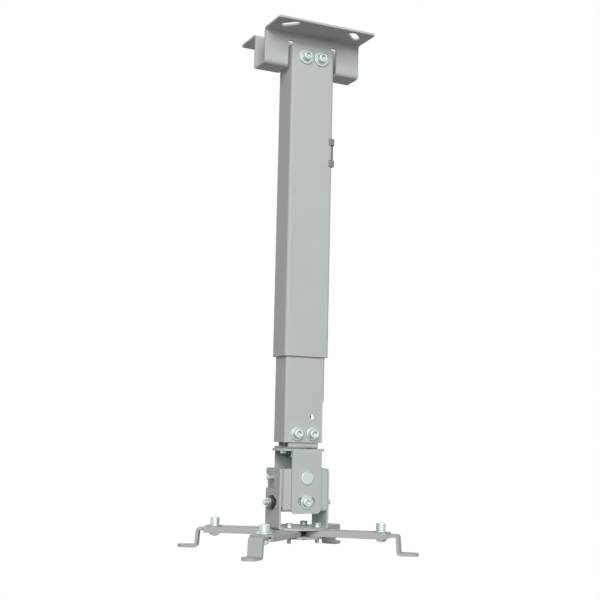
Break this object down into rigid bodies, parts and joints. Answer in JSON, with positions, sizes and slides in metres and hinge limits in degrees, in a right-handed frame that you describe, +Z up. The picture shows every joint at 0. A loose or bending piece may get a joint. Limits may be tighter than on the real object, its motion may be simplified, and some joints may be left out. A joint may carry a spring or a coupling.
{
  "type": "projector ceiling mount",
  "caption": "Telescopic ceiling mount for a projector: folded ceiling bracket, two nested tubes, swivel and tilt head, and spread arms with sliding Z-shaped feet.",
  "frame": {"origin": "on the ceiling plane, at the tube's axis, which is the centre of the four fixing slots", "axes": "+Z up into the ceiling, the mount hangs below Z = 0; X along the bracket and the tube's wide faces, -Y is the front with the small hole; the cable entry is on +X"},
  "size_m": [0.1826, 0.137, 0.4861],
  "materials": {
    "grey_coat": "light grey satin powder coat",
    "zinc": "bright zinc plating",
    "dark_plastic": "fine satin",
    "black_washer": "matte black"
  },
  "bodies": {
    "ceiling_part": {"ceiling_bracket": "grey_coat", "outer_tube": "grey_coat", "top_screws": "zinc", "top_washers": "zinc", "top_nuts": "zinc", "cable_guard": "dark_plastic", "lock_nuts": "zinc", "lock_screws": "zinc"},
    "mast": {"inner_tube": "grey_coat", "tube_screws": "zinc", "tube_washers": "zinc", "insert_nuts": "zinc", "swivel_insert": "grey_coat", "swivel_bolt": "zinc", "swivel_nut": "zinc", "swivel_stops": "zinc"},
    "yoke_part": {"yoke": "grey_coat", "roll_pivots": "zinc"},
    "block_part": {"tilt_block": "grey_coat", "roll_screws": "zinc", "roll_washers": "zinc", "roll_nuts": "zinc", "pitch_pivots": "zinc", "pitch_bolts": "zinc", "pitch_pads": "black_washer", "pitch_nuts": "zinc"},
    "lower_part": {"lower_bracket": "grey_coat", "lower_disc": "grey_coat", "arm_pivots": "zinc"},
    "arm_left_part": {"arm_left": "grey_coat"},
    "foot_left_part": {"foot_left": "grey_coat", "foot_washer_left": "zinc", "foot_screw_left": "zinc", "foot_nut_left": "zinc"},
    "arm_right_part": {"arm_right": "grey_coat"},
    "foot_right_part": {"foot_right": "grey_coat", "foot_washer_right": "zinc", "foot_screw_right": "zinc", "foot_nut_right": "zinc"},
    "arm_front_part": {"arm_front": "grey_coat"},
    "foot_front_part": {"foot_front": "grey_coat", "foot_washer_front": "zinc", "foot_screw_front": "zinc", "foot_nut_front": "zinc"},
    "arm_back_part": {"arm_back": "grey_coat"},
    "foot_back_part": {"foot_back": "grey_coat", "foot_washer_back": "zinc", "foot_screw_back": "zinc", "foot_nut_back": "zinc"}
  },
  "joints": [
    {"name": "height", "type": "slide", "parent": "ceiling_part", "child": "mast", "axis": [0, 0, 1], "range_m": [-0.162, 0.058]},
    {"name": "swivel", "type": "hinge", "parent": "mast", "child": "yoke_part", "pos_m": [0, 0, -0.3937], "axis": [0, 0, 1], "range_deg": [-60, 60]},
    {"name": "roll_tilt", "type": "hinge", "parent": "yoke_part", "child": "block_part", "pos_m": [0, 0, -0.42], "axis": [0, 1, 0], "range_deg": [-15, 15]},
    {"name": "pitch_tilt", "type": "hinge", "parent": "block_part", "child": "lower_part", "pos_m": [0, 0, -0.42], "axis": [1, 0, 0], "range_deg": [-15, 15]},
    {"name": "arm_left_swing", "type": "hinge", "parent": "lower_part", "child": "arm_left_part", "pos_m": [-0.01414, 0.01414, -0.4664], "axis": [0, 0, 1], "range_deg": [-61.4, 28.6]},
    {"name": "foot_left_slide", "type": "slide", "parent": "arm_left_part", "child": "foot_left_part", "axis": [-0.878, 0.4787, 0], "range_m": [-0.0359, 0.0041]},
    {"name": "arm_right_swing", "type": "hinge", "parent": "lower_part", "child": "arm_right_part", "pos_m": [0.01414, -0.01414, -0.4664], "axis": [0, 0, 1], "range_deg": [-50.8, 39.2]},
    {"name": "foot_right_slide", "type": "slide", "parent": "arm_right_part", "child": "foot_right_part", "axis": [0.7749, -0.632, 0], "range_m": [-0.038, 0.002]},
    {"name": "arm_front_swing", "type": "hinge", "parent": "lower_part", "child": "arm_front_part", "pos_m": [-0.01414, -0.01414, -0.4664], "axis": [0, 0, 1], "range_deg": [-40.4, 49.6]},
    {"name": "foot_front_slide", "type": "slide", "parent": "arm_front_part", "child": "foot_front_part", "axis": [-0.7615, -0.6481, 0], "range_m": [-0.0314, 0.0006]},
    {"name": "arm_back_swing", "type": "hinge", "parent": "lower_part", "child": "arm_back_part", "pos_m": [0.01414, 0.01414, -0.4664], "axis": [0, 0, 1], "range_deg": [-37.3, 52.7]},
    {"name": "foot_back_slide", "type": "slide", "parent": "arm_back_part", "child": "foot_back_part", "axis": [0.7955, 0.606, 0], "range_m": [-0.0185, 0.0135]}
  ]
}
